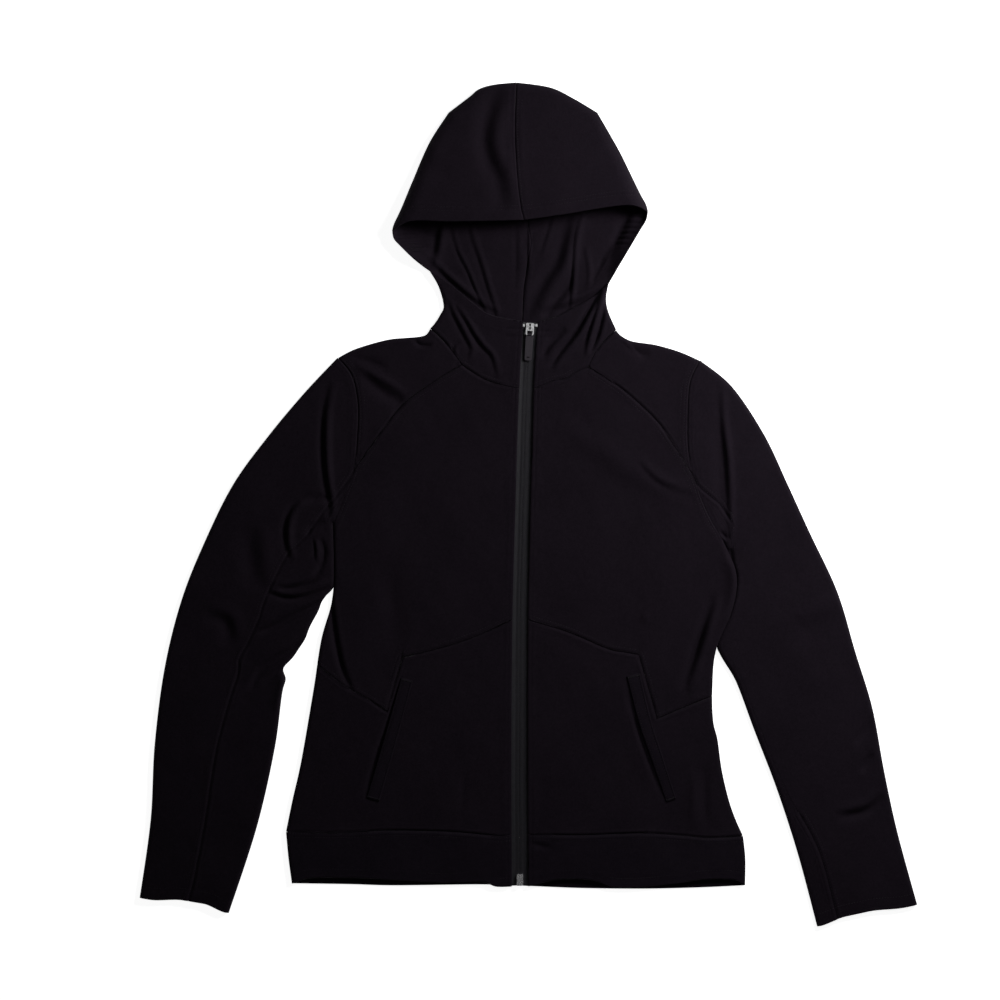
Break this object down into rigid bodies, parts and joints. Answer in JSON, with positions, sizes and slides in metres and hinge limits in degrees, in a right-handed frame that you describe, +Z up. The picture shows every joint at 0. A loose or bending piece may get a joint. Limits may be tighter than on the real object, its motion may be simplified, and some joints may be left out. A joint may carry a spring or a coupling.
{
  "type": "zip up hoodie",
  "caption": "Slim long-sleeved hooded top in black stretch knit, closed by a full-length zip and laid flat on its back with the hood spread open.",
  "frame": {"origin": "middle of the garment's outline, on the surface that it lies on", "axes": "+X across to the wearer's left sleeve, +Y from the hem to the hood, +Z up through the front"},
  "size_m": [0.856, 0.9284, 0.0237],
  "materials": {
    "knit": "matte smooth knit",
    "trim": "matte smooth knit",
    "tape": "smooth coated tape",
    "silver": "polished",
    "gunmetal": "satin dark metal"
  },
  "bodies": {
    "garment": {"hood_right": "knit", "yoke_right": "knit", "front_upper_right": "knit", "front_lower_right": "knit", "pocket_welt_right": "trim", "band_front_right": "trim", "sleeve_upper_right": "knit", "sleeve_under_right": "knit", "zip_tape_right": "tape", "zip_stop_right": "silver", "hood_left": "knit", "yoke_left": "knit", "front_upper_left": "knit", "front_lower_left": "knit", "pocket_welt_left": "trim", "band_front_left": "trim", "sleeve_upper_left": "knit", "sleeve_under_left": "knit", "zip_tape_left": "tape", "zip_stop_left": "silver", "back": "knit", "band_back": "trim", "zip_slider": "silver", "zip_box": "silver"},
    "pull_tab": {"pull_link": "silver", "pull_grip": "gunmetal"}
  },
  "joints": [
    {"name": "pull_tab_hinge", "type": "hinge", "parent": "garment", "child": "pull_tab", "pos_m": [0.00175, 0.195, 0.00799], "axis": [-0.9979, 0.0652, 0], "range_deg": [0, 170]}
  ]
}
